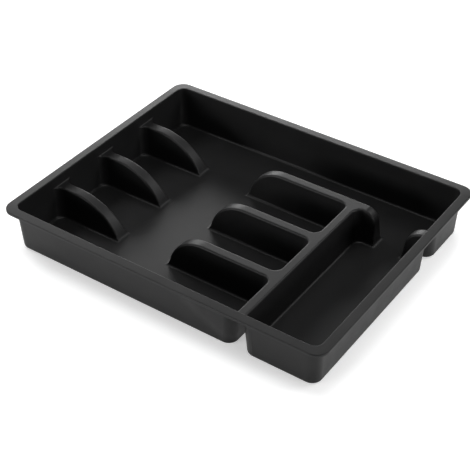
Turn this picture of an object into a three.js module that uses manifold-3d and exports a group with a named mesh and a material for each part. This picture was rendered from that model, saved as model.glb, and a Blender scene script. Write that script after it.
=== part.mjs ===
import * as THREE from 'three';
import { mergeVertices } from 'three/addons/utils/BufferGeometryUtils.js';
import Module from 'manifold-3d';

// Overall size of the tray, in millimetres
const LENGTH = 380;
const WIDTH = 302;
const HEIGHT = 50;

// Skin of the moulding
const WALL = 1.9;
const FLOOR = 1.8;
const ROOF = 1.8;
const OUTER_DRAFT = Math.tan((2.6 * Math.PI) / 180);
const DIVIDER_DRAFT = Math.tan((3.8 * Math.PI) / 180);

// Rim flange with its turned-down lip
const RIM_WIDTH = 10;
const RIM_THICKNESS = 2.2;
const RIM_OUTER_RADIUS = 14;
const RIM_INNER_RADIUS = 9;
const RIM_EDGE_ROUNDING = 1;
const LIP_HEIGHT = 3.6;
const LIP_THICKNESS = 2;

// Heights of the divider tops above the table
const DIVIDER_TOP = 41;
const LOW_RIDGE_TOP = 38;

// Layout of the dividers
const DIVIDER_WIDTH = 11;
const SPOON_FORK_LINE = -71.25;
const FORK_KNIFE_LINE = 0;
const KNIFE_UTENSIL_LINE = 71.25;
const TRANSVERSE_LEFT = 88.5;
const TRANSVERSE_RIGHT = 99;

// Rounded corners and fillets
const POCKET_CORNER = 9;
const FLOOR_FILLET = 2.5;
const OUTER_FLOOR_RADIUS = 3;
const BAND_EDGE_ROUNDING = 1.5;
const FOOT_FILLET = 4;
const FOOT_REACH = 6;

// Curved ridges of the stubs, seen from the front
const LEFT_RIDGE_RADIUS = 67;
const LEFT_RIDGE_CENTRE = -158;
const RIGHT_RIDGE_RADIUS = 41;
const RIGHT_RIDGE_CENTRE = 7.5;
const END_STUB_RADIUS = 15;
const END_STUB_CENTRE = 105.5;
const WALL_STUB_RADIUS = 20;
const WALL_STUB_CENTRE = 175.5;
const STUB_FACE_LEAN = 1;
const WALL_FILLET = 1.2;

// Skin that the ridges leave on the wall beside them
const WALL_ALLOWANCE = 0.1;

// Parting gap between neighbouring sections
const GAP = 0.3;

// Widths of the zones that go to the sections
const WALL_ZONE = 16;
const DIVIDER_ZONE = 12.6;
const CORNER_STEPS = 5;

const left = -LENGTH / 2 + RIM_WIDTH;
const right = LENGTH / 2 - RIM_WIDTH;
const front = -WIDTH / 2 + RIM_WIDTH;
const back = WIDTH / 2 - RIM_WIDTH;
const half = DIVIDER_WIDTH / 2;

const wasm = await Module();
wasm.setup();

function solidFromGeometry(geometry) {
  const bare = new THREE.BufferGeometry();
  bare.setAttribute('position', geometry.getAttribute('position').clone());
  if (geometry.index) {
    bare.setIndex(geometry.index.clone());
  }
  const merged = mergeVertices(bare, 1e-5);
  const mesh = new wasm.Mesh({
    numProp: 3,
    vertProperties: new Float32Array(merged.getAttribute('position').array),
    triVerts: new Uint32Array(merged.index.array),
  });
  return new wasm.Manifold(mesh);
}

// One level of a pocket: a rounded rectangle at one height
function roundedRing(x0, x1, y0, y1, radius, z) {
  const r = Math.min(radius, (x1 - x0) / 2 - 0.01, (y1 - y0) / 2 - 0.01);
  const corners = [
    [x1 - r, y1 - r, 0],
    [x0 + r, y1 - r, 1],
    [x0 + r, y0 + r, 2],
    [x1 - r, y0 + r, 3],
  ];
  const ring = [];
  for (const [cx, cy, quarter] of corners) {
    for (let i = 0; i <= CORNER_STEPS; i += 1) {
      const angle = ((quarter + i / CORNER_STEPS) * Math.PI) / 2;
      ring.push([cx + r * Math.cos(angle), cy + r * Math.sin(angle), z]);
    }
  }
  return ring;
}

// A solid through a stack of rings, from the lowest to the highest
function solidFromRings(rings) {
  const count = rings[0].length;
  const positions = rings.flat(2);
  const index = [];
  for (let level = 0; level < rings.length - 1; level += 1) {
    for (let i = 0; i < count; i += 1) {
      const j = (i + 1) % count;
      const a = level * count + i;
      const b = level * count + j;
      const c = a + count;
      const d = b + count;
      index.push(a, b, d, a, d, c);
    }
  }
  const top = (rings.length - 1) * count;
  for (let i = 1; i < count - 1; i += 1) {
    index.push(0, i + 1, i);
    index.push(top, top + i, top + i + 1);
  }
  const geometry = new THREE.BufferGeometry();
  geometry.setAttribute('position', new THREE.Float32BufferAttribute(positions, 3));
  geometry.setIndex(index);
  return solidFromGeometry(geometry);
}

function prism(x0, x1, y0, y1, radius, z0, z1) {
  return solidFromRings([
    roundedRing(x0, x1, y0, y1, radius, z0),
    roundedRing(x0, x1, y0, y1, radius, z1),
  ]);
}

function block(x0, x1, y0, y1, z0, z1) {
  const geometry = new THREE.BoxGeometry(x1 - x0, y1 - y0, z1 - z0);
  geometry.translate((x0 + x1) / 2, (y0 + y1) / 2, (z0 + z1) / 2);
  return solidFromGeometry(geometry);
}

// A flat outline in the XZ plane, carried along Y
function carryAlongY(points, y0, y1) {
  const shape = new THREE.Shape(points.map(([x, z]) => new THREE.Vector2(x, z)));
  const geometry = new THREE.ExtrudeGeometry(shape, {
    depth: y1 - y0,
    bevelEnabled: false,
    steps: 1,
  });
  geometry.rotateX(Math.PI / 2);
  geometry.translate(0, y1, 0);
  return solidFromGeometry(geometry);
}

// A flat outline in plan, carried along Z
function carryAlongZ(points, z0, z1) {
  const shape = new THREE.Shape(points.map(([x, y]) => new THREE.Vector2(x, y)));
  const geometry = new THREE.ExtrudeGeometry(shape, {
    depth: z1 - z0,
    bevelEnabled: false,
    steps: 1,
  });
  geometry.translate(0, 0, z0);
  return solidFromGeometry(geometry);
}

function joinAll(solids) {
  return solids.reduce((sum, solid) => sum.add(solid));
}

// How far an outer wall leans in below the rim
function wallInset(z) {
  return (HEIGHT - z) * OUTER_DRAFT;
}

// A compartment. Each side is an outer wall or a divider, which sets its draft.
function pocketRect(pocket, z, grow) {
  const inset = (isDivider) => (isDivider ? (DIVIDER_TOP - z) * DIVIDER_DRAFT : wallInset(z)) - grow;
  return [
    pocket.x0 + inset(pocket.dividers.includes('left')),
    pocket.x1 - inset(pocket.dividers.includes('right')),
    pocket.y0 + inset(pocket.dividers.includes('front')),
    pocket.y1 - inset(pocket.dividers.includes('back')),
  ];
}

function filletedLevels(pocket, grow, floorZ, fillet, corner) {
  const levels = [];
  const steps = 4;
  for (let i = 0; i <= steps; i += 1) {
    const angle = (i / steps) * (Math.PI / 2);
    const z = floorZ + fillet * (1 - Math.cos(angle));
    const inward = fillet * (1 - Math.sin(angle));
    const [x0, x1, y0, y1] = pocketRect(pocket, z, grow);
    levels.push(
      roundedRing(x0 + inward, x1 - inward, y0 + inward, y1 - inward, corner - inward * 0.6, z)
    );
  }
  return levels;
}

function pocketCavity(pocket) {
  const levels = filletedLevels(pocket, 0, FLOOR, FLOOR_FILLET, POCKET_CORNER);
  const steps = 2;
  for (let i = 0; i <= steps; i += 1) {
    const angle = (i / steps) * (Math.PI / 2);
    const z = DIVIDER_TOP - BAND_EDGE_ROUNDING * (1 - Math.sin(angle));
    const flare = BAND_EDGE_ROUNDING * (1 - Math.cos(angle));
    const [x0, x1, y0, y1] = pocketRect(pocket, z, 0);
    levels.push(
      roundedRing(
        x0 - (pocket.dividers.includes('left') ? flare : 0),
        x1 + (pocket.dividers.includes('right') ? flare : 0),
        y0 - (pocket.dividers.includes('front') ? flare : 0),
        y1 + (pocket.dividers.includes('back') ? flare : 0),
        POCKET_CORNER,
        z
      )
    );
  }
  return solidFromRings(levels);
}

function pocketSkin(pocket) {
  const levels = filletedLevels(
    pocket,
    WALL,
    0,
    OUTER_FLOOR_RADIUS,
    POCKET_CORNER + WALL
  );
  const [x0, x1, y0, y1] = pocketRect(pocket, DIVIDER_TOP, WALL);
  levels.push(roundedRing(x0, x1, y0, y1, POCKET_CORNER + WALL, DIVIDER_TOP));
  return solidFromRings(levels);
}

const pockets = {
  spoon: {
    x0: left,
    x1: TRANSVERSE_LEFT,
    y0: front,
    y1: SPOON_FORK_LINE - half,
    dividers: ['right', 'back'],
  },
  fork: {
    x0: left,
    x1: TRANSVERSE_LEFT,
    y0: SPOON_FORK_LINE + half,
    y1: FORK_KNIFE_LINE - half,
    dividers: ['right', 'front', 'back'],
  },
  knife: {
    x0: left,
    x1: TRANSVERSE_LEFT,
    y0: FORK_KNIFE_LINE + half,
    y1: KNIFE_UTENSIL_LINE - half,
    dividers: ['right', 'front', 'back'],
  },
  utensil: {
    x0: left,
    x1: right,
    y0: KNIFE_UTENSIL_LINE + half,
    y1: back,
    dividers: ['front'],
  },
  teaspoon: {
    x0: TRANSVERSE_RIGHT,
    x1: right,
    y0: front,
    y1: KNIFE_UTENSIL_LINE - half,
    dividers: ['left', 'back'],
  },
};

function arc(cx, cz, radius, from, to, steps) {
  const points = [];
  for (let i = 0; i <= steps; i += 1) {
    const angle = (from + ((to - from) * i) / steps) * (Math.PI / 180);
    points.push([cx + radius * Math.cos(angle), cz + radius * Math.sin(angle)]);
  }
  return points;
}

// The ridge line from the left wall, down to the open band and up to the transverse divider
function mainRidgeLine() {
  const leftCentreZ = LOW_RIDGE_TOP - LEFT_RIDGE_RADIUS;
  const rightCentreZ = DIVIDER_TOP - RIGHT_RIDGE_RADIUS;
  const reach = LEFT_RIDGE_RADIUS + FOOT_FILLET;
  const lift = FLOOR + FOOT_FILLET - leftCentreZ;
  const leftFoot = (Math.asin(lift / reach) * 180) / Math.PI;
  const leftFootX = LEFT_RIDGE_CENTRE + Math.sqrt(reach * reach - lift * lift);
  const rightReach = RIGHT_RIDGE_RADIUS + FOOT_FILLET;
  const rightLift = FLOOR + FOOT_FILLET - rightCentreZ;
  const rightFoot = (Math.asin(rightLift / rightReach) * 180) / Math.PI;
  const rightFootX = RIGHT_RIDGE_CENTRE - Math.sqrt(rightReach ** 2 - rightLift ** 2);
  const wallX = left + wallInset(LOW_RIDGE_TOP) + WALL_ALLOWANCE;
  return [
    [left + WALL_ALLOWANCE, HEIGHT - 0.5],
    ...arc(wallX + WALL_FILLET, LOW_RIDGE_TOP + WALL_FILLET, WALL_FILLET, 180, 270, 3),
    ...arc(LEFT_RIDGE_CENTRE, leftCentreZ, LEFT_RIDGE_RADIUS, 90, leftFoot, 14),
    ...arc(leftFootX, FLOOR + FOOT_FILLET, FOOT_FILLET, 180 + leftFoot, 270, 3),
    ...arc(rightFootX, FLOOR + FOOT_FILLET, FOOT_FILLET, 270, 360 - rightFoot, 4),
    ...arc(RIGHT_RIDGE_CENTRE, rightCentreZ, RIGHT_RIDGE_RADIUS, 180 - rightFoot, 90, 14),
    [TRANSVERSE_RIGHT - 2, DIVIDER_TOP],
  ];
}

// The line over the short stub, through the passage and up the stub on the right wall
function endRidgeLine() {
  const stubCentreZ = DIVIDER_TOP - END_STUB_RADIUS;
  const wallCentreZ = LOW_RIDGE_TOP - WALL_STUB_RADIUS;
  const tip = END_STUB_CENTRE + END_STUB_RADIUS + STUB_FACE_LEAN;
  const wallTip = WALL_STUB_CENTRE - WALL_STUB_RADIUS - STUB_FACE_LEAN;
  const wallX = right - wallInset(LOW_RIDGE_TOP) - WALL_ALLOWANCE;
  return [
    [TRANSVERSE_LEFT + 2, DIVIDER_TOP],
    ...arc(END_STUB_CENTRE, stubCentreZ, END_STUB_RADIUS, 90, 0, 7),
    ...arc(tip + FOOT_FILLET, FLOOR + FOOT_FILLET, FOOT_FILLET, 180, 270, 4),
    ...arc(wallTip - FOOT_FILLET, FLOOR + FOOT_FILLET, FOOT_FILLET, 270, 360, 4),
    ...arc(WALL_STUB_CENTRE, wallCentreZ, WALL_STUB_RADIUS, 180, 90, 8),
    ...arc(wallX - WALL_FILLET, LOW_RIDGE_TOP + WALL_FILLET, WALL_FILLET, 270, 360, 3),
    [right - WALL_ALLOWANCE, HEIGHT - 0.5],
  ];
}

// The same line, moved down by the thickness of the skin
function underside(line, thickness) {
  const flatLevels = [FLOOR, LOW_RIDGE_TOP, DIVIDER_TOP];
  return line.map((point, i) => {
    if (flatLevels.some((level) => Math.abs(point[1] - level) < 1e-6)) {
      return [point[0], point[1] - thickness];
    }
    const before = line[Math.max(i - 1, 0)];
    const after = line[Math.min(i + 1, line.length - 1)];
    const dx = after[0] - before[0];
    const dz = after[1] - before[1];
    const size = Math.hypot(dx, dz);
    return [point[0] + (dz / size) * thickness, point[1] - (dx / size) * thickness];
  });
}

function ridgeRoof(line, y0, y1) {
  return carryAlongY([...line, ...underside(line, ROOF).reverse()], y0, y1);
}

function spaceAbove(line, y0, y1) {
  const last = line[line.length - 1];
  return carryAlongY([...line, [last[0], HEIGHT + 10], [line[0][0], HEIGHT + 10]], y0, y1);
}

function rimFlange() {
  const x = LENGTH / 2;
  const y = WIDTH / 2;
  const r = RIM_OUTER_RADIUS;
  const ring = (inset, z) =>
    roundedRing(-x + inset, x - inset, -y + inset, y - inset, r - inset, z);
  const e = RIM_EDGE_ROUNDING;
  const plate = solidFromRings([
    ring(0.3, HEIGHT - LIP_HEIGHT),
    ring(0, HEIGHT - LIP_HEIGHT + 0.3),
    ring(0, HEIGHT - e),
    ring(e * 0.29, HEIGHT - e * 0.29),
    ring(e, HEIGHT),
  ]);
  const recess = solidFromRings([
    ring(LIP_THICKNESS, HEIGHT - LIP_HEIGHT - 1),
    ring(LIP_THICKNESS, HEIGHT - RIM_THICKNESS),
  ]);
  return plate.subtract(recess);
}

// One level of the outer walls, grown outward from their inner face
function wallRing(grow, z) {
  const out = grow - wallInset(z);
  return roundedRing(left - out, right + out, front - out, back + out, RIM_INNER_RADIUS + grow, z);
}

// The walls between the divider tops and the rim, which close them above the notches
function upperWalls() {
  return solidFromRings([
    wallRing(WALL - 0.3, DIVIDER_TOP - ROOF + 0.4),
    wallRing(WALL, DIVIDER_TOP),
    wallRing(WALL, HEIGHT - RIM_THICKNESS + 0.5),
  ]);
}

// The space inside the walls, above the divider tops
function mouth() {
  const ring = wallRing;
  const e = RIM_EDGE_ROUNDING;
  return solidFromRings([
    ring(0, DIVIDER_TOP),
    ring(0, HEIGHT - e),
    ring(e * 0.29, HEIGHT - e * 0.29),
    ring(e, HEIGHT),
    ring(e, HEIGHT + 5),
  ]);
}

// The whole moulding, before it is parted into sections
function wholeTray() {
  const frontOfStubs = SPOON_FORK_LINE - half - 3;
  const backOfStubs = KNIFE_UTENSIL_LINE + half + 3;
  const mainLine = mainRidgeLine();
  const endLine = endRidgeLine();
  const endFront = KNIFE_UTENSIL_LINE - half - 3;
  const skins = Object.values(pockets).map(pocketSkin);
  const roofs = [
    ridgeRoof(mainLine, frontOfStubs, backOfStubs),
    ridgeRoof(endLine, endFront, backOfStubs),
    block(
      TRANSVERSE_LEFT - 3,
      TRANSVERSE_RIGHT + 3,
      front - WALL,
      backOfStubs,
      DIVIDER_TOP - ROOF,
      DIVIDER_TOP
    ),
  ];
  const material = joinAll([rimFlange(), upperWalls(), ...skins, ...roofs]);
  const cavities = Object.values(pockets).map(pocketCavity);
  const cuts = joinAll([
    ...cavities,
    mouth(),
    spaceAbove(mainLine, frontOfStubs - FOOT_REACH, backOfStubs + FOOT_REACH),
    spaceAbove(endLine, endFront - FOOT_REACH, backOfStubs + FOOT_REACH),
  ]);
  return material.subtract(cuts);
}

function rimZone(gap) {
  const x = LENGTH / 2 + 5;
  const y = WIDTH / 2 + 5;
  const under = HEIGHT - RIM_THICKNESS - gap;
  const inset = RIM_WIDTH + 0.25 + gap;
  const lipInset = 5 + gap;
  const all = block(-x, x, -y, y, HEIGHT - LIP_HEIGHT - 1, HEIGHT + 1);
  const inner = prism(
    -LENGTH / 2 + inset,
    LENGTH / 2 - inset,
    -WIDTH / 2 + inset,
    WIDTH / 2 - inset,
    RIM_INNER_RADIUS,
    0,
    HEIGHT + 2
  );
  const below = prism(
    -LENGTH / 2 + lipInset,
    LENGTH / 2 - lipInset,
    -WIDTH / 2 + lipInset,
    WIDTH / 2 - lipInset,
    RIM_OUTER_RADIUS - 5,
    0,
    under
  );
  return all.subtract(inner).subtract(below);
}

// A side of the tray in plan, mitred at its two corners
function sideZone(side, depth, z0, z1) {
  const x = LENGTH / 2 + 6;
  const y = WIDTH / 2 + 6;
  const d = depth + 6;
  const g = GAP * 0.71;
  const outlines = {
    front: [[-x + g, -y], [x - g, -y], [x - d - g, -y + d], [-x + d + g, -y + d]],
    back: [[x - g, y], [-x + g, y], [-x + d + g, y - d], [x - d - g, y - d]],
    left: [[-x, y - g], [-x, -y + g], [-x + d, -y + d + g], [-x + d, y - d - g]],
    right: [[x, -y + g], [x, y - g], [x - d, y - d - g], [x - d, -y + d + g]],
  };
  return carryAlongZ(outlines[side], z0, z1);
}

function dividerZone(x0, x1, y0, y1, grow) {
  return block(x0 - grow, x1 + grow, y0 - grow, y1 + grow, -5, HEIGHT + 5);
}

const transverseMiddle = (TRANSVERSE_LEFT + TRANSVERSE_RIGHT) / 2;
const zoneLeft = transverseMiddle - 14.2;
const zoneRight = transverseMiddle + DIVIDER_ZONE;
const stubBack = KNIFE_UTENSIL_LINE + DIVIDER_ZONE;

const dividerZones = {
  divider_transverse: [zoneLeft, zoneRight, front + 1.4, stubBack],
  stub_left_spoon_fork: [-177.5, -95.4, SPOON_FORK_LINE - DIVIDER_ZONE, SPOON_FORK_LINE + DIVIDER_ZONE],
  stub_left_fork_knife: [-177.5, -95.4, FORK_KNIFE_LINE - DIVIDER_ZONE, FORK_KNIFE_LINE + DIVIDER_ZONE],
  stub_left_knife_utensil: [-177.5, -95.4, KNIFE_UTENSIL_LINE - DIVIDER_ZONE, stubBack],
  stub_right_spoon_fork: [-37.9, zoneLeft - GAP, SPOON_FORK_LINE - DIVIDER_ZONE, SPOON_FORK_LINE + DIVIDER_ZONE],
  stub_right_fork_knife: [-37.9, zoneLeft - GAP, FORK_KNIFE_LINE - DIVIDER_ZONE, FORK_KNIFE_LINE + DIVIDER_ZONE],
  stub_right_knife_utensil: [-37.9, zoneLeft - GAP, KNIFE_UTENSIL_LINE - DIVIDER_ZONE, stubBack],
  stub_teaspoon_end: [zoneRight + GAP, 126.5, KNIFE_UTENSIL_LINE - DIVIDER_ZONE, stubBack],
  stub_right_wall: [149.7, 177.5, KNIFE_UTENSIL_LINE - DIVIDER_ZONE, stubBack],
};

// Part the tray into its named sections, one after the other
function partSections(tray) {
  const sections = {};
  const rim = tray.intersect(rimZone(0));
  let rest = tray.subtract(rimZone(GAP));
  for (const side of ['front', 'back', 'left', 'right']) {
    sections[`rim_${side}`] = rim.intersect(sideZone(side, RIM_WIDTH + 12, 0, HEIGHT + 5));
  }
  for (const [name, [x0, x1, y0, y1]] of Object.entries(dividerZones)) {
    sections[name] = rest.intersect(dividerZone(x0, x1, y0, y1, 0));
    rest = rest.subtract(dividerZone(x0, x1, y0, y1, GAP));
  }
  const sideOf = (side) => rest.intersect(sideZone(side, WALL_ZONE, -5, HEIGHT + 5));
  const big = 400;
  const splitX = transverseMiddle;
  const splitY = KNIFE_UTENSIL_LINE;
  const g = GAP / 2;
  const low = -5;
  const high = HEIGHT + 5;
  const frontWall = sideOf('front');
  sections.wall_front = frontWall.intersect(block(-big, splitX - g, -big, big, low, high));
  sections.wall_front_teaspoon = frontWall.intersect(block(splitX + g, big, -big, big, low, high));
  sections.wall_back = sideOf('back');
  sections.wall_left = sideOf('left');
  const rightWall = sideOf('right');
  sections.wall_right_teaspoon = rightWall.intersect(block(-big, big, -big, splitY - g, low, high));
  sections.wall_right_utensil = rightWall.intersect(block(-big, big, splitY + g, big, low, high));
  const x = LENGTH / 2 - WALL_ZONE - GAP;
  const y = WIDTH / 2 - WALL_ZONE - GAP;
  const floors = rest.intersect(block(-x, x, -y, y, low, high));
  sections.floor_main = floors.intersect(block(-big, splitX, -big, splitY - g, low, high));
  sections.floor_utensil = floors.intersect(block(-big, big, splitY + g, big, low, high));
  sections.floor_teaspoon = floors.intersect(block(splitX, big, -big, splitY - g, low, high));
  return sections;
}

function meshFromSolid(name, solid, material) {
  const { numProp, vertProperties, triVerts } = solid.getMesh();
  const positions = new Float32Array((vertProperties.length / numProp) * 3);
  for (let i = 0; i < positions.length / 3; i += 1) {
    positions[3 * i] = vertProperties[i * numProp];
    positions[3 * i + 1] = vertProperties[i * numProp + 1];
    positions[3 * i + 2] = vertProperties[i * numProp + 2];
  }
  const geometry = new THREE.BufferGeometry();
  geometry.setAttribute('position', new THREE.BufferAttribute(positions, 3));
  geometry.setIndex(new THREE.BufferAttribute(new Uint32Array(triVerts), 1));
  geometry.computeVertexNormals();
  const mesh = new THREE.Mesh(geometry, material);
  mesh.name = name;
  return mesh;
}

const blackPlastic = new THREE.MeshStandardMaterial({
  name: 'black_plastic',
  color: 0x3a3a3c,
  roughness: 0.55,
  metalness: 0,
});

const group = new THREE.Group();
group.name = 'cutlery_tray';
for (const [name, solid] of Object.entries(partSections(wholeTray()))) {
  group.add(meshFromSolid(name, solid, blackPlastic.clone()));
}

export default group;
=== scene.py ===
import math

import bmesh
import bpy
from mathutils import Matrix, Vector


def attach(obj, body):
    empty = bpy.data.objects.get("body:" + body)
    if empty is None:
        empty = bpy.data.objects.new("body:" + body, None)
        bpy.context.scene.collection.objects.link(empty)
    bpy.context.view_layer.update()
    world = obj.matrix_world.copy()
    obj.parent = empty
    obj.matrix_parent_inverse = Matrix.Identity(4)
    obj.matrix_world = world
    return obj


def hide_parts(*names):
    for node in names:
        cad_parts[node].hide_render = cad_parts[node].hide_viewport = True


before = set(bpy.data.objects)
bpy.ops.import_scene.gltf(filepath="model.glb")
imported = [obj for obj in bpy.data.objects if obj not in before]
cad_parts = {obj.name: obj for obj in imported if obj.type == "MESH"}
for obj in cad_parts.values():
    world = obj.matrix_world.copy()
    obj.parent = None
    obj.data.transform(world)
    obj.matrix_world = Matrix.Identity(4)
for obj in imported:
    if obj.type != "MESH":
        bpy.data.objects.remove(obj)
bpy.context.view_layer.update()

# Cutlery drawer organizer, one thin-walled moulding in black plastic
# Overall size of the tray, in metres
LENGTH = 0.380
WIDTH = 0.302
HEIGHT = 0.050

# Rim flange and its turned-down lip
RIM_WIDTH = 0.010
RIM_THICKNESS = 0.0022
RIM_OUTER_RADIUS = 0.014
RIM_ROUNDING = 0.001
RIM_FALL = 0.0004
LIP_HEIGHT = 0.0036
LIP_THICKNESS = 0.002
LIP_CHAMFER = 0.0004

# Dividers
DIVIDER_WIDTH = 0.011
BAND_TOP = 0.041
LOW_RIDGE_TOP = 0.038
SPOON_FORK_LINE = -0.07125
FORK_KNIFE_LINE = 0.0
KNIFE_UTENSIL_LINE = 0.07125
TRANSVERSE_LEFT = 0.0885
TRANSVERSE_RIGHT = 0.099

# Pockets, their drafted sides, floors and fillets, and the thickness of the skin
POCKET_CORNER = 0.009
CORNER_STEPS = 10
WALL_DRAFT = math.tan(math.radians(2.6))
DIVIDER_DRAFT = math.tan(math.radians(3.8))
FLOOR_TOP = 0.0018
FLOOR_FILLET = 0.0025
FILLET_STEPS = 5
SKIN = 0.0018
UNDER_FILLET = 0.003

# Ridge lines of the stubs: radius, centre along the tray and steps of each curve
LEFT_RIDGE_RADIUS = 0.067
LEFT_RIDGE_CENTRE = -0.158
LEFT_RIDGE_STEPS = 22
RIGHT_RIDGE_RADIUS = 0.041
RIGHT_RIDGE_CENTRE = 0.0075
RIGHT_RIDGE_STEPS = 24
END_STUB_RADIUS = 0.015
END_STUB_CENTRE = 0.1055
END_STUB_STEPS = 12
WALL_STUB_RADIUS = 0.020
WALL_STUB_CENTRE = 0.1755
WALL_STUB_STEPS = 14
END_FACE_LEAN = 0.001

# Where a ridge meets the floor, and where it meets an end wall
FOOT_FILLET = 0.004
FOOT_STEPS = 6
LEFT_FOOT_STEPS = 5
FOOT_GUARD = 0.0015
ROOT_FILLET = 0.0012
ROOT_STEPS = 6
ROOT_FADE = 0.0012

# Rounded upper edges of the dividers and of the rim
EDGE_ROUNDING = 0.0022
EDGE_STEPS = 4

# How sharply the floor fillet gives way where a ridge comes down on it
CREASE_SHARPNESS = 4

# Points of a ridge line this close together are one point
SAME_POINT = 2e-5
# Room left beside a point that is compared with a corner's centre
CORNER_SLACK = 1e-5
# An outline that leans less than this runs straight
NO_LEAN = 1e-6
# An outline that leans more than this runs square to the side
FULL_LEAN = 0.999
# A height under this is none
NO_HEIGHT = 1e-9
# Least distance of a cut from a corner, and from the start of the short stub's curve
CUT_GAP = 2e-4
STUB_CUT_GAP = 5e-4
# A cut takes in the points that are this close to it
CUT_SLACK = 1e-7
# Points of the two faces this close together are joined
SEAM_GAP = 2e-6
# Height at which the outline of a pocket is drawn, clear above the tray, before it is sunk
DRAWING_HEIGHT = 1.0

# Finish of the plastic: sheen, tone of the black, roughness, and depth of the unevenness
SHEEN_LEVEL = 0.22
DEEP_BLACK = (0.0055, 0.0055, 0.0057, 1)
SOFT_BLACK = (0.0075, 0.0075, 0.0077, 1)
LEAST_ROUGHNESS = 0.42
MOST_ROUGHNESS = 0.48
CLOUD_LOW = 0.3
CLOUD_HIGH = 0.7
WAVE_STRENGTH = 0.35
WAVE_DEPTH = 0.00006
GRAIN_STRENGTH = 0.35
GRAIN_DEPTH = 0.00004

# How many times per metre each pattern of the plastic repeats
TONE_SCALE = 18.0
GLOSS_SCALE = 55.0
WAVE_SCALE = 160.0
GRAIN_SCALE = 2600.0

# Studio floor: half its width, its colour, and how bright it looks near the tray and far away
FLOOR_REACH = 6.0
FLOOR_COLOUR = (0.82, 0.82, 0.82, 1)
FLOOR_ROUGHNESS = 0.9
NEAR_DISTANCE = 0.5
NEAR_GLOW = 0.45
FAR_DISTANCE = 1.6
FAR_GLOW = 1.0

# Faint even light from all round, beside the lamps
WHITE = (1, 1, 1, 1)
WORLD_STRENGTH = 0.03

# Camera at the photograph's viewing angle: place in metres, turns in degrees, lens in millimetres
CAMERA_PLACE = (0.55085, -0.79366, 0.76483)
CAMERA_TURNS = (51.75323, 0.19827, 34.94280)
CAMERA_LENS = 90.5432
CAMERA_SENSOR = 36.0
CAMERA_NEAR = 0.05
CAMERA_FAR = 20.0

LEFT = -LENGTH / 2 + RIM_WIDTH
RIGHT = LENGTH / 2 - RIM_WIDTH
FRONT = -WIDTH / 2 + RIM_WIDTH
BACK = WIDTH / 2 - RIM_WIDTH
HALF = DIVIDER_WIDTH / 2

# Each compartment: its sides at band height, and which of them are dividers
POCKETS = {
    "spoon": ((LEFT, TRANSVERSE_LEFT, FRONT, SPOON_FORK_LINE - HALF), ("right", "back")),
    "fork": (
        (LEFT, TRANSVERSE_LEFT, SPOON_FORK_LINE + HALF, FORK_KNIFE_LINE - HALF),
        ("right", "front", "back"),
    ),
    "knife": (
        (LEFT, TRANSVERSE_LEFT, FORK_KNIFE_LINE + HALF, KNIFE_UTENSIL_LINE - HALF),
        ("right", "front", "back"),
    ),
    "utensil": ((LEFT, RIGHT, KNIFE_UTENSIL_LINE + HALF, BACK), ("front",)),
    "teaspoon": ((TRANSVERSE_RIGHT, RIGHT, FRONT, KNIFE_UTENSIL_LINE - HALF), ("left", "back")),
}


def wall_inset(z):
    """How far an outer wall leans in below the rim"""
    return max(HEIGHT - z, 0.0) * WALL_DRAFT


class Ridge:
    """A line over the stubs, seen from the front, as points with the way to the air above them"""

    def __init__(self):
        self.points = []

    def floor_point(self, x):
        """Where the line lies on the floor beside the foot of a stub"""
        self.points.append((Vector((x, FLOOR_TOP)), Vector((0.0, 1.0))))

    def arc(self, centre, radius, start, end, steps, hollow):
        """A round stretch, between two angles in degrees, over a bump or in a hollow"""
        for step in range(steps + 1):
            angle = math.radians(start + (end - start) * step / steps)
            away = Vector((math.cos(angle), math.sin(angle)))
            place = Vector(centre) + away * radius
            air = -away if hollow else away
            if not self.points or (place - self.points[-1][0]).length > SAME_POINT:
                self.points.append((place, air))

    def lowered(self, thickness):
        """The same line on the underside of the skin"""
        line = Ridge()
        for place, air in self.points:
            line.points.append((place - air * thickness, air))
        return line

    def at(self, x):
        """Height and air side of the line above x"""
        first, last = self.points[0], self.points[-1]
        if x <= first[0].x:
            return first[0].y, first[1]
        if x >= last[0].x:
            return last[0].y, last[1]
        for (low, low_air), (high, high_air) in zip(self.points, self.points[1:]):
            if low.x <= x <= high.x:
                share = (x - low.x) / (high.x - low.x)
                air = low_air.lerp(high_air, share).normalized()
                return low.y + (high.y - low.y) * share, air
        return last[0].y, last[1]

    def stations(self, low_x, high_x):
        """Where the line has points between two places along the tray"""
        return [place.x for place, _ in self.points if low_x < place.x < high_x]


def foot_angle(radius, top):
    """Where a ridge of this radius meets its foot fillet, and how far out that is"""
    reach = radius + FOOT_FILLET
    lift = FLOOR_TOP + FOOT_FILLET - (top - radius)
    return math.degrees(math.asin(lift / reach)), math.sqrt(reach**2 - lift**2)


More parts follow.
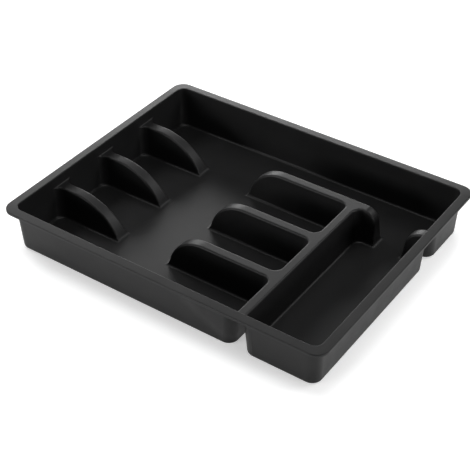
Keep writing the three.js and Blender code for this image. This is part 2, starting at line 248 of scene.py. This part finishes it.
def main_ridge():
    """From the left wall over the left stubs, the open band and the right stubs to the band"""
    foot_z = FLOOR_TOP + FOOT_FILLET
    line = Ridge()
    wall = LEFT + wall_inset(LOW_RIDGE_TOP)
    root = (wall + ROOT_FILLET, LOW_RIDGE_TOP + ROOT_FILLET)
    line.arc(root, ROOT_FILLET, 180, 270, ROOT_STEPS, hollow=True)
    angle, reach = foot_angle(LEFT_RIDGE_RADIUS, LOW_RIDGE_TOP)
    centre = (LEFT_RIDGE_CENTRE, LOW_RIDGE_TOP - LEFT_RIDGE_RADIUS)
    line.arc(centre, LEFT_RIDGE_RADIUS, 90, angle, LEFT_RIDGE_STEPS, hollow=False)
    foot = (LEFT_RIDGE_CENTRE + reach, foot_z)
    line.arc(foot, FOOT_FILLET, 180 + angle, 270, LEFT_FOOT_STEPS, hollow=True)
    line.floor_point(LEFT_RIDGE_CENTRE + reach + FOOT_GUARD)
    angle, reach = foot_angle(RIGHT_RIDGE_RADIUS, BAND_TOP)
    line.floor_point(RIGHT_RIDGE_CENTRE - reach - FOOT_GUARD)
    foot = (RIGHT_RIDGE_CENTRE - reach, foot_z)
    line.arc(foot, FOOT_FILLET, 270, 360 - angle, FOOT_STEPS, hollow=True)
    centre = (RIGHT_RIDGE_CENTRE, BAND_TOP - RIGHT_RIDGE_RADIUS)
    line.arc(centre, RIGHT_RIDGE_RADIUS, 180 - angle, 90, RIGHT_RIDGE_STEPS, hollow=False)
    return line


def end_ridge():
    """Over the short stub, through the passage and up the stub on the right wall"""
    foot_z = FLOOR_TOP + FOOT_FILLET
    line = Ridge()
    centre = (END_STUB_CENTRE, BAND_TOP - END_STUB_RADIUS)
    line.arc(centre, END_STUB_RADIUS, 90, 0, END_STUB_STEPS, hollow=False)
    tip = END_STUB_CENTRE + END_STUB_RADIUS + END_FACE_LEAN
    line.arc((tip + FOOT_FILLET, foot_z), FOOT_FILLET, 180, 270, FOOT_STEPS, hollow=True)
    line.floor_point(tip + FOOT_FILLET + FOOT_GUARD)
    tip = WALL_STUB_CENTRE - WALL_STUB_RADIUS - END_FACE_LEAN
    line.floor_point(tip - FOOT_FILLET - FOOT_GUARD)
    line.arc((tip - FOOT_FILLET, foot_z), FOOT_FILLET, 270, 360, FOOT_STEPS, hollow=True)
    centre = (WALL_STUB_CENTRE, LOW_RIDGE_TOP - WALL_STUB_RADIUS)
    line.arc(centre, WALL_STUB_RADIUS, 180, 90, WALL_STUB_STEPS, hollow=False)
    wall = RIGHT - wall_inset(LOW_RIDGE_TOP)
    root = (wall - ROOT_FILLET, LOW_RIDGE_TOP + ROOT_FILLET)
    line.arc(root, ROOT_FILLET, 270, 360, ROOT_STEPS, hollow=True)
    return line


def soft_least(rise, room):
    """The lesser of two heights, with a soft change from one to the other"""
    if rise <= NO_HEIGHT or room <= NO_HEIGHT:
        return 0.0
    return (rise**-CREASE_SHARPNESS + room**-CREASE_SHARPNESS) ** (-1 / CREASE_SHARPNESS)


def keep_order(place, low, high, low_shift, high_shift):
    """A point of a straight side, pushed along where a corner below has moved inwards"""
    if place < low + 2 * low_shift:
        return low + low_shift + (place - low) / 2
    if place > high - 2 * high_shift:
        return high - high_shift - (high - place) / 2
    return place


class Sheet:
    """One face of the moulding: the upper one, or the underside a skin's thickness below it"""

    def __init__(self, form, under):
        self.form = form
        self.grow = SKIN if under else 0.0
        self.floor = FLOOR_TOP - self.grow
        self.fillet = UNDER_FILLET if under else FLOOR_FILLET
        self.band = BAND_TOP - self.grow
        self.corner = POCKET_CORNER + self.grow
        self.rounding = 0.0 if under else EDGE_ROUNDING
        self.main = main_ridge()
        self.end = end_ridge()
        self.low_main = self.main.lowered(self.grow)
        self.low_end = self.end.lowered(self.grow)
        self.flat_from = self.main.points[-1][0].x
        self.flat_to = TRANSVERSE_RIGHT + POCKET_CORNER
        self.home = self.layer("home")
        self.lean = self.layer("lean")

    def layer(self, name):
        """A note kept with each point, by its name"""
        layers = self.form.verts.layers.float_vector
        return layers.get(name) or layers.new(name)

    def line_height(self, x):
        """Height of this sheet over the dividers that run lengthways, and the air side there"""
        if x <= self.flat_from:
            height, air = self.low_main.at(x)
        elif x <= END_STUB_CENTRE:
            height, air = self.band, Vector((0, 1))
        else:
            height, air = self.low_end.at(x)
        return min(height, self.band), air

    def station(self, x):
        """Where a cut through the ridge line at x lands on this sheet, and the air side there"""
        if x <= self.flat_from:
            height, air = self.main.at(x)
        elif x <= END_STUB_CENTRE:
            height, air = BAND_TOP, Vector((0, 1))
        else:
            height, air = self.end.at(x)
        return x - self.grow * air.x, min(height - self.grow * air.y, self.band), air

    def on_line(self, name, lean):
        """Whether the outline there borders a divider that runs lengthways"""
        dividers = POCKETS[name][1]
        at_back = lean.y > NO_LEAN and "back" in dividers
        at_front = lean.y < -NO_LEAN and "front" in dividers
        return at_back or at_front

    def on_band(self, name, home, lean):
        """Whether the outline there borders the divider that runs across"""
        (x0, x1, _, _), dividers = POCKETS[name]
        by_right = home.x > x1 - POCKET_CORNER - CORNER_SLACK and lean.x > -NO_LEAN
        by_left = home.x < x0 + POCKET_CORNER + CORNER_SLACK and lean.x < NO_LEAN
        return (by_right and "right" in dividers) or (by_left and "left" in dividers)

    def wall_top(self, home):
        """Height at which the rim's part of an outer wall begins: lower where stubs grow from it"""
        if abs(home.x) > RIGHT - POCKET_CORNER - CORNER_SLACK:
            return min(LOW_RIDGE_TOP + ROOT_FILLET, self.band)
        return self.band

    def top_at(self, name, home, lean, x):
        """Height of the pocket's edge at a point of its outline, and the air side there"""
        if self.on_line(name, lean):
            return self.line_height(x)
        if self.on_band(name, home, lean):
            return self.band, Vector((0, 1))
        return self.wall_top(home), Vector((0, 1))

    def centre_at(self, name, home, z):
        """Where the centre of a point's corner arc lies at height z"""
        (x0, x1, y0, y1), dividers = POCKETS[name]
        drop = max(BAND_TOP - z, 0.0)
        shift = {}
        for side in ("left", "right", "front", "back"):
            shift[side] = drop * DIVIDER_DRAFT if side in dividers else wall_inset(z)
        r = POCKET_CORNER
        x = keep_order(home.x, x0 + r, x1 - r, shift["left"], shift["right"])
        y = keep_order(home.y, y0 + r, y1 - r, shift["front"], shift["back"])
        return Vector((x, y))

    def fillet_place(self, name, home, lean, turn):
        """A point of the floor fillet, from 0 at the floor to 1 at the wall"""
        angle = turn * math.pi / 2
        rise = self.fillet * (1 - math.cos(angle))
        inward = self.fillet * (1 - math.sin(angle))
        centre = self.centre_at(name, home, self.floor + rise)
        place = centre + lean * (self.corner - inward)
        top, _ = self.top_at(name, home, lean, place.x)
        return Vector((place.x, place.y, self.floor + soft_least(rise, top - self.floor)))

    def edge_place(self, name, home, lean, turn):
        """A point of the rounded upper edge, from 0 at the wall to 1 at the top of the divider"""
        dividers = POCKETS[name][1]
        straight = self.on_line(name, lean) and abs(lean.x) < NO_LEAN
        station = self.centre_at(name, home, LOW_RIDGE_TOP).x + lean.x * self.corner
        top, air = self.top_at(name, home, lean, station)
        if straight:
            station, top, air = self.station(home.x)
        angle = turn * math.pi / 2
        size = min(max(top - self.floor - FLOOR_FILLET, 0.0), self.rounding)
        # On a ridge, the rounding fades out towards the end wall
        if air.x != 0.0:
            reach = RIGHT - wall_inset(LOW_RIDGE_TOP) - abs(station)
            size *= min(max(reach / ROOT_FADE, 0.0), 1.0)
        below = size * (1 - math.sin(angle))
        flare = size * (1 - math.cos(angle))
        z = top - below * air.y
        centre = self.centre_at(name, home, max(z, self.floor + self.fillet))
        if straight:
            centre.x = station
        wide_x = flare if ("right" if lean.x > 0 else "left") in dividers else 0.0
        wide_y = flare if ("back" if lean.y > 0 else "front") in dividers else 0.0
        x = centre.x + lean.x * (self.corner + wide_x) - below * air.x
        y = centre.y + lean.y * (self.corner + wide_y)
        return Vector((x, y, z))

    def inner_rim_place(self, z, beyond):
        """A rule for the rim's inner side, this far beyond the pockets' outer walls"""

        def place_of(name, home, lean, turn):
            centre = self.centre_at(name, home, z)
            return Vector((*(centre + lean * (self.corner + beyond)), z))

        return place_of

    def outer_rim_place(self, z, inset):
        """A rule for the rim's outer side, this far inside the outer edge"""
        widen_x = (LENGTH / 2 - RIM_OUTER_RADIUS) / (RIGHT - POCKET_CORNER)
        widen_y = (WIDTH / 2 - RIM_OUTER_RADIUS) / (BACK - POCKET_CORNER)

        def place_of(name, home, lean, turn):
            centre = Vector((home.x * widen_x, home.y * widen_y))
            return Vector((*(centre + lean * (RIM_OUTER_RADIUS - inset)), z))

        return place_of

    def cuts(self, name):
        """Where the long sides of a pocket need points to follow the ridge lines"""
        (x0, x1, _, _), _ = POCKETS[name]
        low = x0 + POCKET_CORNER + CUT_GAP
        high = x1 - POCKET_CORNER - CUT_GAP
        stations = self.main.stations(low, self.flat_from - CUT_GAP) + [self.flat_from]
        stations += [self.flat_to] + self.end.stations(self.flat_to + STUB_CUT_GAP, high)
        return sorted(x for x in stations if low < x < high)

    def drawn_outline(self, name):
        """The outline of a pocket with its round corners and cuts, drawn clear above the tray"""
        form = self.form
        (x0, x1, y0, y1), _ = POCKETS[name]
        spread = Matrix.Diagonal((x1 - x0, y1 - y0, 1, 1))
        middle = Matrix.Translation(((x0 + x1) / 2, (y0 + y1) / 2, DRAWING_HEIGHT))
        plate = bmesh.ops.create_grid(
            form, x_segments=1, y_segments=1, size=0.5, matrix=middle @ spread
        )
        bmesh.ops.bevel(
            form,
            geom=plate["verts"],
            offset=POCKET_CORNER,
            segments=CORNER_STEPS,
            profile=0.5,
            affect="VERTICES",
            material=-1,
            clamp_overlap=False,
        )
        clear = DRAWING_HEIGHT / 2
        for x in self.cuts(name):
            faces = [face for face in form.faces if face.calc_center_median().z > clear]
            edges = dict.fromkeys(edge for face in faces for edge in face.edges)
            verts = dict.fromkeys(vert for face in faces for vert in face.verts)
            bmesh.ops.bisect_plane(
                form,
                geom=[*faces, *edges, *verts],
                dist=CUT_SLACK,
                plane_co=(x, 0, 0),
                plane_no=(1, 0, 0),
            )
        verts = [vert for vert in form.verts if vert.co.z > clear]
        edges = [edge for edge in form.edges if edge.is_boundary and edge.verts[0].co.z > clear]
        return verts, edges

    def pocket_skin(self, name):
        """A pocket from its floor up to the rounded edges of its dividers"""
        (x0, x1, y0, y1), _ = POCKETS[name]
        verts, edges = self.drawn_outline(name)
        r = POCKET_CORNER
        for vert in verts:
            home_x = min(max(vert.co.x, x0 + r), x1 - r)
            home_y = min(max(vert.co.y, y0 + r), y1 - r)
            home = Vector((home_x, home_y))
            lean = (vert.co.xy - home) / r
            vert[self.home] = (*home, 0)
            vert[self.lean] = (*lean, list(POCKETS).index(name))
            vert.co = self.fillet_place(name, home, lean, 0)
        for step in range(1, FILLET_STEPS + 1):
            edges = self.raise_edges(edges, self.fillet_place, step / FILLET_STEPS)
        if not self.rounding:
            self.raise_edges(edges, self.edge_place)
            return
        for step in range(EDGE_STEPS + 1):
            edges = self.raise_edges(edges, self.edge_place, step / EDGE_STEPS)

    def raise_edges(self, edges, place_of, turn=1):
        """Extrude the open outline by one level"""
        grown = bmesh.ops.extrude_edge_only(self.form, edges=edges)["geom"]
        for vert in [item for item in grown if isinstance(item, bmesh.types.BMVert)]:
            vert.co = place_of(*self.facts(vert), turn)
        return [item for item in grown if isinstance(item, bmesh.types.BMEdge) and item.is_boundary]

    def facts(self, vert):
        """The pocket that a point belongs to, its corner centre and the way it leans from that"""
        x, y, index = vert[self.lean]
        return list(POCKETS)[round(index)], Vector(vert[self.home][:2]), Vector((x, y))

    def open_edges(self):
        """The edges along which the sheet can still grow"""
        return [edge for edge in self.form.edges if edge.is_boundary]

    def side_chain(self, name, side, low, high):
        """The open edges of one long side of a pocket, between two stations"""
        sign = 1 if side == "back" else -1
        chain = []
        for edge in self.open_edges():
            facts = [self.facts(vert) for vert in edge.verts]
            if any(fact[0] != name for fact in facts):
                continue
            if not any(fact[2].y * sign > NO_LEAN for fact in facts):
                continue
            # A corner's own arc stays with the divider that runs across
            if not any(fact[1].x > low + SAME_POINT for fact in facts):
                continue
            if all(low - SAME_POINT <= fact[1].x <= high + SAME_POINT for fact in facts):
                chain.append(edge)
        return chain

    def join_over(self, near, far, low, high):
        """The top of a stub, from one pocket's edge to the next one's"""
        chains = self.side_chain(near, "back", low, high) + self.side_chain(far, "front", low, high)
        bmesh.ops.bridge_loops(self.form, edges=chains)

    def fill_band(self):
        """The flat top of the divider that runs across, with the flat ends of the stubs"""
        ends = []
        for vert in self.form.verts:
            name, home, lean = self.facts(vert)
            if not any(edge.is_boundary for edge in vert.link_edges):
                continue
            if lean.y > -FULL_LEAN or self.on_line(name, lean):
                continue
            if self.on_band(name, home, lean):
                ends.append(vert)
        closing = self.form.edges.new(ends)
        loop = [closing]
        for edge in self.open_edges():
            facts = [self.facts(vert) for vert in edge.verts]
            names = {fact[0] for fact in facts}
            low = min(fact[1].x for fact in facts)
            high = max(fact[1].x for fact in facts)
            between = low >= self.flat_from - SAME_POINT and high <= self.flat_to + SAME_POINT
            by_line = any(self.on_line(fact[0], fact[2]) for fact in facts)
            by_band = any(self.on_band(*fact) and abs(fact[2].x) > NO_LEAN for fact in facts)
            if between and (len(names) == 2 or by_line):
                loop.append(edge)
            elif by_band and len(names) == 1:
                loop.append(edge)
        bmesh.ops.edgeloop_fill(self.form, edges=loop)

    def make(self):
        """All pockets, the tops of the stubs between them and the flat top of the cross divider"""
        for name in POCKETS:
            self.pocket_skin(name)
        for near, far in (("spoon", "fork"), ("fork", "knife"), ("knife", "utensil")):
            self.join_over(near, far, LEFT, self.flat_from)
        self.join_over("teaspoon", "utensil", self.flat_to, RIGHT)
        self.fill_band()


def upper_sheet(form):
    """The face of the tray that is seen from above, out to the lip of the rim"""
    sheet = Sheet(form, under=False)
    sheet.make()
    edges = sheet.open_edges()
    edge_foot = HEIGHT - RIM_ROUNDING
    lip_foot = HEIGHT - LIP_HEIGHT
    edges = sheet.raise_edges(edges, sheet.inner_rim_place(edge_foot, 0.0))
    for step in range(1, EDGE_STEPS + 1):
        angle = step / EDGE_STEPS * math.pi / 2
        z = edge_foot + RIM_ROUNDING * math.sin(angle)
        beyond = RIM_ROUNDING * (1 - math.cos(angle))
        edges = sheet.raise_edges(edges, sheet.inner_rim_place(z, beyond))
    for step in range(EDGE_STEPS + 1):
        angle = step / EDGE_STEPS * math.pi / 2
        z = edge_foot - RIM_FALL + RIM_ROUNDING * math.cos(angle)
        inset = RIM_ROUNDING * (1 - math.sin(angle))
        edges = sheet.raise_edges(edges, sheet.outer_rim_place(z, inset))
    edges = sheet.raise_edges(edges, sheet.outer_rim_place(lip_foot + LIP_CHAMFER, 0.0))
    edges = sheet.raise_edges(edges, sheet.outer_rim_place(lip_foot, LIP_CHAMFER))
    sheet.raise_edges(edges, sheet.outer_rim_place(lip_foot, LIP_THICKNESS))


def under_sheet(form):
    """The underside, with the hollows under the dividers, out to the inside of the lip"""
    sheet = Sheet(form, under=True)
    sheet.make()
    edges = sheet.open_edges()
    flange = HEIGHT - RIM_THICKNESS
    edges = sheet.raise_edges(edges, sheet.inner_rim_place(flange, 0.0))
    edges = sheet.raise_edges(edges, sheet.outer_rim_place(flange, LIP_THICKNESS))
    sheet.raise_edges(edges, sheet.outer_rim_place(HEIGHT - LIP_HEIGHT, LIP_THICKNESS))


def tray_mesh():
    """Both faces of the moulding, joined along the lower edge of the lip"""
    whole = bmesh.new()
    for make in (upper_sheet, under_sheet):
        form = bmesh.new()
        make(form)
        part = bpy.data.meshes.new("face_of_the_tray")
        form.to_mesh(part)
        form.free()
        whole.from_mesh(part)
        bpy.data.meshes.remove(part)
    bmesh.ops.remove_doubles(whole, verts=whole.verts, dist=SEAM_GAP)
    bmesh.ops.recalc_face_normals(whole, faces=whole.faces)
    for face in whole.faces:
        face.smooth = True
    mesh = bpy.data.meshes.new("tray_moulding")
    whole.to_mesh(mesh)
    whole.free()
    return mesh


def black_plastic():
    """Satin black moulded plastic with a fine eroded grain"""
    material = bpy.data.materials.new("black_plastic_moulding")
    material.use_nodes = True
    nodes, links = material.node_tree.nodes, material.node_tree.links
    shader = nodes["Principled BSDF"]
    shader.inputs["Specular IOR Level"].default_value = SHEEN_LEVEL
    place = nodes.new("ShaderNodeTexCoord")

    def noise(scale, detail):
        texture = nodes.new("ShaderNodeTexNoise")
        texture.inputs["Scale"].default_value = scale
        texture.inputs["Detail"].default_value = detail
        links.new(place.outputs["Object"], texture.inputs["Vector"])
        return texture.outputs["Fac"]

    # Melt flow leaves slightly lighter and darker clouds in the black
    tone = nodes.new("ShaderNodeValToRGB")
    low_end, high_end = tone.color_ramp.elements
    low_end.position = CLOUD_LOW
    low_end.color = DEEP_BLACK
    high_end.position = CLOUD_HIGH
    high_end.color = SOFT_BLACK
    links.new(noise(TONE_SCALE, detail=4.0), tone.inputs["Fac"])
    links.new(tone.outputs["Color"], shader.inputs["Base Color"])

    # The grain of the mould is a little smoother in some places than in others
    gloss = nodes.new("ShaderNodeMapRange")
    gloss.inputs["From Min"].default_value = CLOUD_LOW
    gloss.inputs["From Max"].default_value = CLOUD_HIGH
    gloss.inputs["To Min"].default_value = LEAST_ROUGHNESS
    gloss.inputs["To Max"].default_value = MOST_ROUGHNESS
    links.new(noise(GLOSS_SCALE, detail=3.0), gloss.inputs["Value"])
    links.new(gloss.outputs["Result"], shader.inputs["Roughness"])

    # Slight unevenness of the moulding under the fine eroded grain
    waves = nodes.new("ShaderNodeBump")
    waves.inputs["Strength"].default_value = WAVE_STRENGTH
    waves.inputs["Distance"].default_value = WAVE_DEPTH
    links.new(noise(WAVE_SCALE, detail=2.0), waves.inputs["Height"])
    grain = nodes.new("ShaderNodeBump")
    grain.inputs["Strength"].default_value = GRAIN_STRENGTH
    grain.inputs["Distance"].default_value = GRAIN_DEPTH
    links.new(noise(GRAIN_SCALE, detail=3.0), grain.inputs["Height"])
    links.new(waves.outputs["Normal"], grain.inputs["Normal"])
    links.new(grain.outputs["Normal"], shader.inputs["Normal"])
    return material


def tray():
    """The whole moulding as one piece, in place of all its sections"""
    mesh = tray_mesh()
    piece = bpy.data.objects.new("tray_moulding", mesh)
    bpy.context.scene.collection.objects.link(piece)
    mesh.materials.append(black_plastic())
    weighted = piece.modifiers.new("even_shading", "WEIGHTED_NORMAL")
    weighted.mode = "FACE_AREA"
    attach(piece, "root")
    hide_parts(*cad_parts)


def pale_floor():
    """Pale matt surface that the camera and the reflections see as white, with its shadow kept"""
    material = bpy.data.materials.new("pale_floor")
    material.use_nodes = True
    nodes, links = material.node_tree.nodes, material.node_tree.links
    shader = nodes["Principled BSDF"]
    shader.inputs["Base Color"].default_value = FLOOR_COLOUR
    shader.inputs["Roughness"].default_value = FLOOR_ROUGHNESS
    shader.inputs["Specular IOR Level"].default_value = 0.0
    shader.inputs["Emission Color"].default_value = WHITE

    def joined(operation, first, second):
        step = nodes.new("ShaderNodeMath")
        step.operation = operation
        links.new(first, step.inputs[0])
        links.new(second, step.inputs[1])
        return step.outputs[0]

    rays = nodes.new("ShaderNodeLightPath").outputs
    seen = joined("MAXIMUM", rays["Is Camera Ray"], rays["Is Glossy Ray"])
    seen = joined("MAXIMUM", seen, rays["Is Transmission Ray"])

    # Far from the tray, where the lamps don't reach, the floor is as white as close to it
    place = nodes.new("ShaderNodeTexCoord")
    distance = nodes.new("ShaderNodeVectorMath")
    distance.operation = "LENGTH"
    links.new(place.outputs["Object"], distance.inputs[0])
    glow = nodes.new("ShaderNodeMapRange")
    glow.inputs["From Min"].default_value = NEAR_DISTANCE
    glow.inputs["From Max"].default_value = FAR_DISTANCE
    glow.inputs["To Min"].default_value = NEAR_GLOW
    glow.inputs["To Max"].default_value = FAR_GLOW
    links.new(distance.outputs["Value"], glow.inputs["Value"])
    strength = joined("MULTIPLY", seen, glow.outputs["Result"])
    links.new(strength, shader.inputs["Emission Strength"])
    return material


def floor():
    """Studio floor in the plane that the tray stands on"""
    form = bmesh.new()
    bmesh.ops.create_grid(form, x_segments=1, y_segments=1, size=FLOOR_REACH)
    mesh = bpy.data.meshes.new("studio_floor")
    form.to_mesh(mesh)
    form.free()
    mesh.materials.append(pale_floor())
    plane = bpy.data.objects.new("studio_floor", mesh)
    bpy.context.scene.collection.objects.link(plane)


def camera():
    """Camera at the photograph's viewing angle"""
    data = bpy.data.cameras.new("photo_camera")
    data.sensor_width = CAMERA_SENSOR
    data.sensor_fit = "HORIZONTAL"
    data.lens = CAMERA_LENS
    data.clip_start = CAMERA_NEAR
    data.clip_end = CAMERA_FAR
    lens = bpy.data.objects.new("photo_camera", data)
    bpy.context.scene.collection.objects.link(lens)
    lens.location = CAMERA_PLACE
    lens.rotation_euler = [math.radians(turn) for turn in CAMERA_TURNS]
    bpy.context.scene.camera = lens


def soft_light(name, place, width, height, power):
    """Rectangular lamp that faces the tray, in metres and watts"""
    data = bpy.data.lights.new(name, "AREA")
    data.shape = "RECTANGLE"
    data.size = width
    data.size_y = height
    data.energy = power
    lamp = bpy.data.objects.new(name, data)
    bpy.context.scene.collection.objects.link(lamp)
    lamp.location = place
    lamp.rotation_euler = (-Vector(place)).to_track_quat("-Z", "Y").to_euler()


def lights():
    """Low soft lamps round the tray and weaker ones above it, in an almost dark studio"""
    world = bpy.data.worlds.new("studio")
    world.use_nodes = True
    bpy.context.scene.world = world
    background = world.node_tree.nodes["Background"]
    background.inputs["Color"].default_value = WHITE
    background.inputs["Strength"].default_value = WORLD_STRENGTH
    soft_light("overhead", place=(0.05, -0.05, 1.5), width=0.7, height=0.7, power=9)
    soft_light("behind_left", place=(-1.5, 2.15, 0.88), width=2.0, height=0.55, power=46)
    soft_light("behind_high", place=(-0.1, 0.9, 1.3), width=0.8, height=0.5, power=1)
    soft_light("left_high", place=(-1.2, 0.1, 1.1), width=0.8, height=0.5, power=10)
    soft_light("behind_right", place=(0.9, 0.9, 1.1), width=0.8, height=0.5, power=9)
    soft_light("right_low", place=(1.8, 0.0, 0.48), width=1.2, height=0.4, power=15)
    soft_light("front_left_low", place=(-0.9, -1.5, 0.40), width=1.2, height=0.4, power=17)
    bpy.context.scene.view_settings.view_transform = "Standard"


camera()
tray()
floor()
lights()
